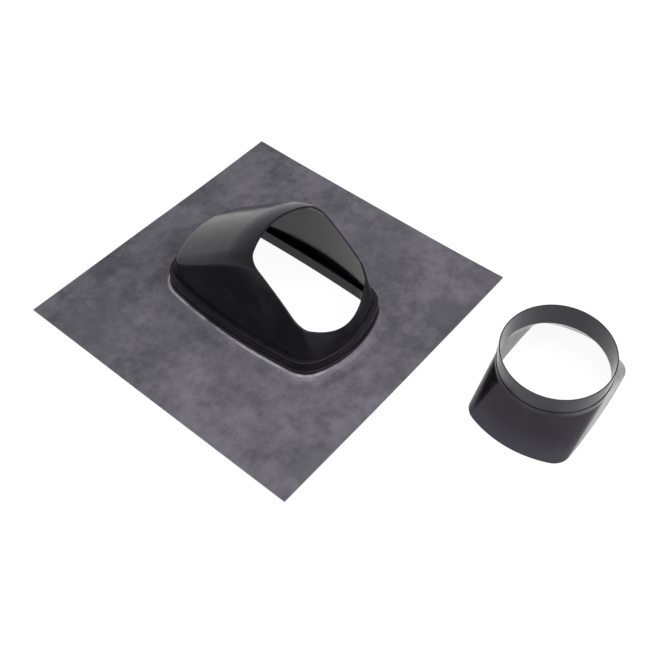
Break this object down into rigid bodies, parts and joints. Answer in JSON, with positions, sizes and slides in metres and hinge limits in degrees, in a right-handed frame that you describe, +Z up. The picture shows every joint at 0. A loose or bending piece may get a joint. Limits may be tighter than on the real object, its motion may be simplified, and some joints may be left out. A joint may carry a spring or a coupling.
{
  "type": "pipe flashing boot",
  "caption": "Square lead roof sheet with a moulded black hood over its pipe opening, a hidden frame gripping the lead, and a loose round collar that fits over the hood's sloping mouth.",
  "frame": {"origin": "middle of the lead sheet, on its underside, in the way of the pipe", "axes": "+Z up out of the roof, +X down the slope of the mouth and along the sheet's side, +Y across"},
  "size_m": [0.5932, 0.4, 0.132],
  "materials": {
    "lead": "dull rolled milled lead, cloudy grey",
    "black_plastic": "moulded black plastic, glossy"
  },
  "bodies": {
    "root": {"lead_sheet": "lead", "hood": "black_plastic", "retaining_frame": "black_plastic", "collar": "black_plastic"}
  },
  "joints": []
}
